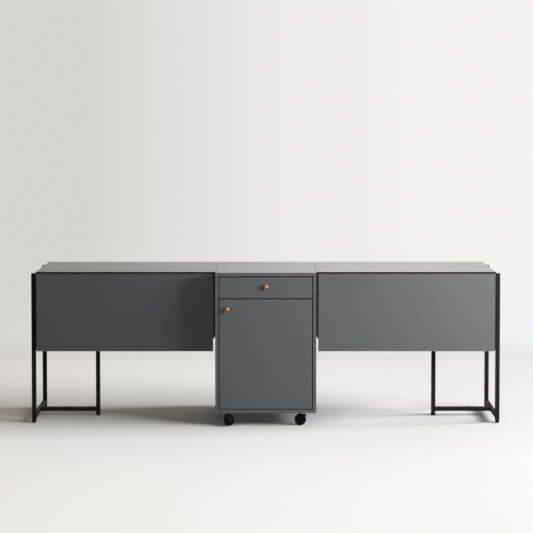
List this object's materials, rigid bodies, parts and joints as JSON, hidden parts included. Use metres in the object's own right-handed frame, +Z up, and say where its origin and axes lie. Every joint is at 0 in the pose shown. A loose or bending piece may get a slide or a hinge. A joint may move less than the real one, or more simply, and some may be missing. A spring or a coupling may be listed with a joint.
{
  "type": "folding dining table",
  "caption": "Long narrow dining table: a drawer cabinet on castors between two steel-legged wings whose hanging leaves fold up on stays to widen the top.",
  "frame": {"origin": "on the floor, under the middle of the overall box", "axes": "+X to the right along the table, +Y to the rear, +Z up"},
  "size_m": [2.3, 0.447, 0.75],
  "materials": {
    "grey_lacquer": "satin lacquer on board",
    "black_steel": "matt powder coat",
    "brass": "satin turned brass",
    "zinc_steel": "zinc plated",
    "drawer_board": "oiled birch plywood",
    "castor_plastic": "moulded nylon",
    "glide_plastic": "moulded plastic"
  },
  "bodies": {
    "table": {"cabinet_back": "grey_lacquer", "cabinet_bottom": "grey_lacquer", "cabinet_divider": "grey_lacquer", "cabinet_left_side": "grey_lacquer", "cabinet_right_side": "grey_lacquer", "cabinet_shelf": "grey_lacquer", "cabinet_top": "grey_lacquer", "castor_stems": "zinc_steel", "door_catch": "glide_plastic", "door_pivots": "zinc_steel", "drawer_runners": "zinc_steel", "end_cheeks": "grey_lacquer", "hinge_pins": "zinc_steel", "inner_cheeks": "grey_lacquer", "joining_cleats": "black_steel", "left_leg_posts": "black_steel", "left_leg_rails": "black_steel", "left_wing_top": "grey_lacquer", "leg_glides": "glide_plastic", "leg_standoffs": "black_steel", "right_leg_posts": "black_steel", "right_leg_rails": "black_steel", "right_wing_top": "grey_lacquer", "shelf_pins": "zinc_steel", "spine_tubes": "black_steel", "stay_guides": "black_steel", "wing_hinge_plates": "black_steel"},
    "door": {"door_panel": "grey_lacquer", "door_knob": "brass", "door_strike": "zinc_steel"},
    "drawer": {"drawer_front": "grey_lacquer", "drawer_sides": "drawer_board", "drawer_back": "drawer_board", "drawer_bottom": "drawer_board", "drawer_slides": "zinc_steel", "drawer_knob": "brass"},
    "left_front_leaf_body": {"left_front_leaf": "grey_lacquer", "left_front_leaf_hinge": "black_steel", "left_front_stay_brackets": "black_steel"},
    "left_front_stay_body": {"left_front_stays": "black_steel"},
    "left_rear_leaf_body": {"left_rear_leaf": "grey_lacquer", "left_rear_leaf_hinge": "black_steel", "left_rear_stay_brackets": "black_steel"},
    "left_rear_stay_body": {"left_rear_stays": "black_steel"},
    "right_front_leaf_body": {"right_front_leaf": "grey_lacquer", "right_front_leaf_hinge": "black_steel", "right_front_stay_brackets": "black_steel"},
    "right_front_stay_body": {"right_front_stays": "black_steel"},
    "right_rear_leaf_body": {"right_rear_leaf": "grey_lacquer", "right_rear_leaf_hinge": "black_steel", "right_rear_stay_brackets": "black_steel"},
    "right_rear_stay_body": {"right_rear_stays": "black_steel"},
    "front_left_castor": {"front_left_castor_hood": "castor_plastic"},
    "front_left_wheel": {"front_left_castor_wheels": "castor_plastic"},
    "front_right_castor": {"front_right_castor_hood": "castor_plastic"},
    "front_right_wheel": {"front_right_castor_wheels": "castor_plastic"},
    "rear_left_castor": {"rear_left_castor_hood": "castor_plastic"},
    "rear_left_wheel": {"rear_left_castor_wheels": "castor_plastic"},
    "rear_right_castor": {"rear_right_castor_hood": "castor_plastic"},
    "rear_right_wheel": {"rear_right_castor_wheels": "castor_plastic"}
  },
  "joints": [
    {"name": "door_hinge", "type": "hinge", "parent": "table", "child": "door", "pos_m": [0.216, -0.1915, 0.3525], "axis": [0, 0, 1], "range_deg": [0, 100]},
    {"name": "drawer_slide", "type": "slide", "parent": "table", "child": "drawer", "axis": [0, -1, 0], "range_m": [0, 0.3]},
    {"name": "leaf_left_front", "type": "hinge", "parent": "table", "child": "left_front_leaf_body", "pos_m": [-0.685, -0.1725, 0.746], "axis": [-1, 0, 0], "range_deg": [0, 90]},
    {"name": "stay_left_front", "type": "hinge", "parent": "left_front_leaf_body", "child": "left_front_stay_body", "pos_m": [-0.685, -0.1485, 0.666], "axis": [1, 0, 0], "range_deg": [0, 107.47]},
    {"name": "leaf_left_rear", "type": "hinge", "parent": "table", "child": "left_rear_leaf_body", "pos_m": [-0.685, 0.2195, 0.746], "axis": [1, 0, 0], "range_deg": [0, 90]},
    {"name": "stay_left_rear", "type": "hinge", "parent": "left_rear_leaf_body", "child": "left_rear_stay_body", "pos_m": [-0.685, 0.1955, 0.666], "axis": [-1, 0, 0], "range_deg": [0, 107.47]},
    {"name": "leaf_right_front", "type": "hinge", "parent": "table", "child": "right_front_leaf_body", "pos_m": [0.685, -0.1725, 0.746], "axis": [-1, 0, 0], "range_deg": [0, 90]},
    {"name": "stay_right_front", "type": "hinge", "parent": "right_front_leaf_body", "child": "right_front_stay_body", "pos_m": [0.685, -0.1485, 0.666], "axis": [1, 0, 0], "range_deg": [0, 107.47]},
    {"name": "leaf_right_rear", "type": "hinge", "parent": "table", "child": "right_rear_leaf_body", "pos_m": [0.685, 0.2195, 0.746], "axis": [1, 0, 0], "range_deg": [0, 90]},
    {"name": "stay_right_rear", "type": "hinge", "parent": "right_rear_leaf_body", "child": "right_rear_stay_body", "pos_m": [0.685, 0.1955, 0.666], "axis": [-1, 0, 0], "range_deg": [0, 107.47]},
    {"name": "swivel_front_left", "type": "hinge", "parent": "table", "child": "front_left_castor", "pos_m": [-0.189, -0.1725, 0.055], "axis": [0, 0, 1], "continuous": true},
    {"name": "wheel_front_left", "type": "hinge", "parent": "front_left_castor", "child": "front_left_wheel", "pos_m": [-0.17961, -0.19016, 0.0255], "axis": [-0.8829, -0.4695, 0], "continuous": true},
    {"name": "swivel_front_right", "type": "hinge", "parent": "table", "child": "front_right_castor", "pos_m": [0.189, -0.1725, 0.055], "axis": [0, 0, 1], "continuous": true},
    {"name": "wheel_front_right", "type": "hinge", "parent": "front_right_castor", "child": "front_right_wheel", "pos_m": [0.169, -0.1725, 0.0255], "axis": [0, 1, 0], "continuous": true},
    {"name": "swivel_rear_left", "type": "hinge", "parent": "table", "child": "rear_left_castor", "pos_m": [-0.189, 0.1955, 0.055], "axis": [0, 0, 1], "continuous": true},
    {"name": "wheel_rear_left", "type": "hinge", "parent": "rear_left_castor", "child": "rear_left_wheel", "pos_m": [-0.17021, 0.18866, 0.0255], "axis": [-0.342, -0.9397, 0], "continuous": true},
    {"name": "swivel_rear_right", "type": "hinge", "parent": "table", "child": "rear_right_castor", "pos_m": [0.189, 0.1955, 0.055], "axis": [0, 0, 1], "continuous": true},
    {"name": "wheel_rear_right", "type": "hinge", "parent": "rear_right_castor", "child": "rear_right_wheel", "pos_m": [0.18382, 0.17618, 0.0255], "axis": [-0.9659, 0.2588, 0], "continuous": true}
  ],
  "couplings": [
    {"joint": "stay_left_front", "follows": "leaf_left_front", "ratio": 1.183},
    {"joint": "stay_left_rear", "follows": "leaf_left_rear", "ratio": 1.183},
    {"joint": "stay_right_front", "follows": "leaf_right_front", "ratio": 1.183},
    {"joint": "stay_right_rear", "follows": "leaf_right_rear", "ratio": 1.183}
  ]
}
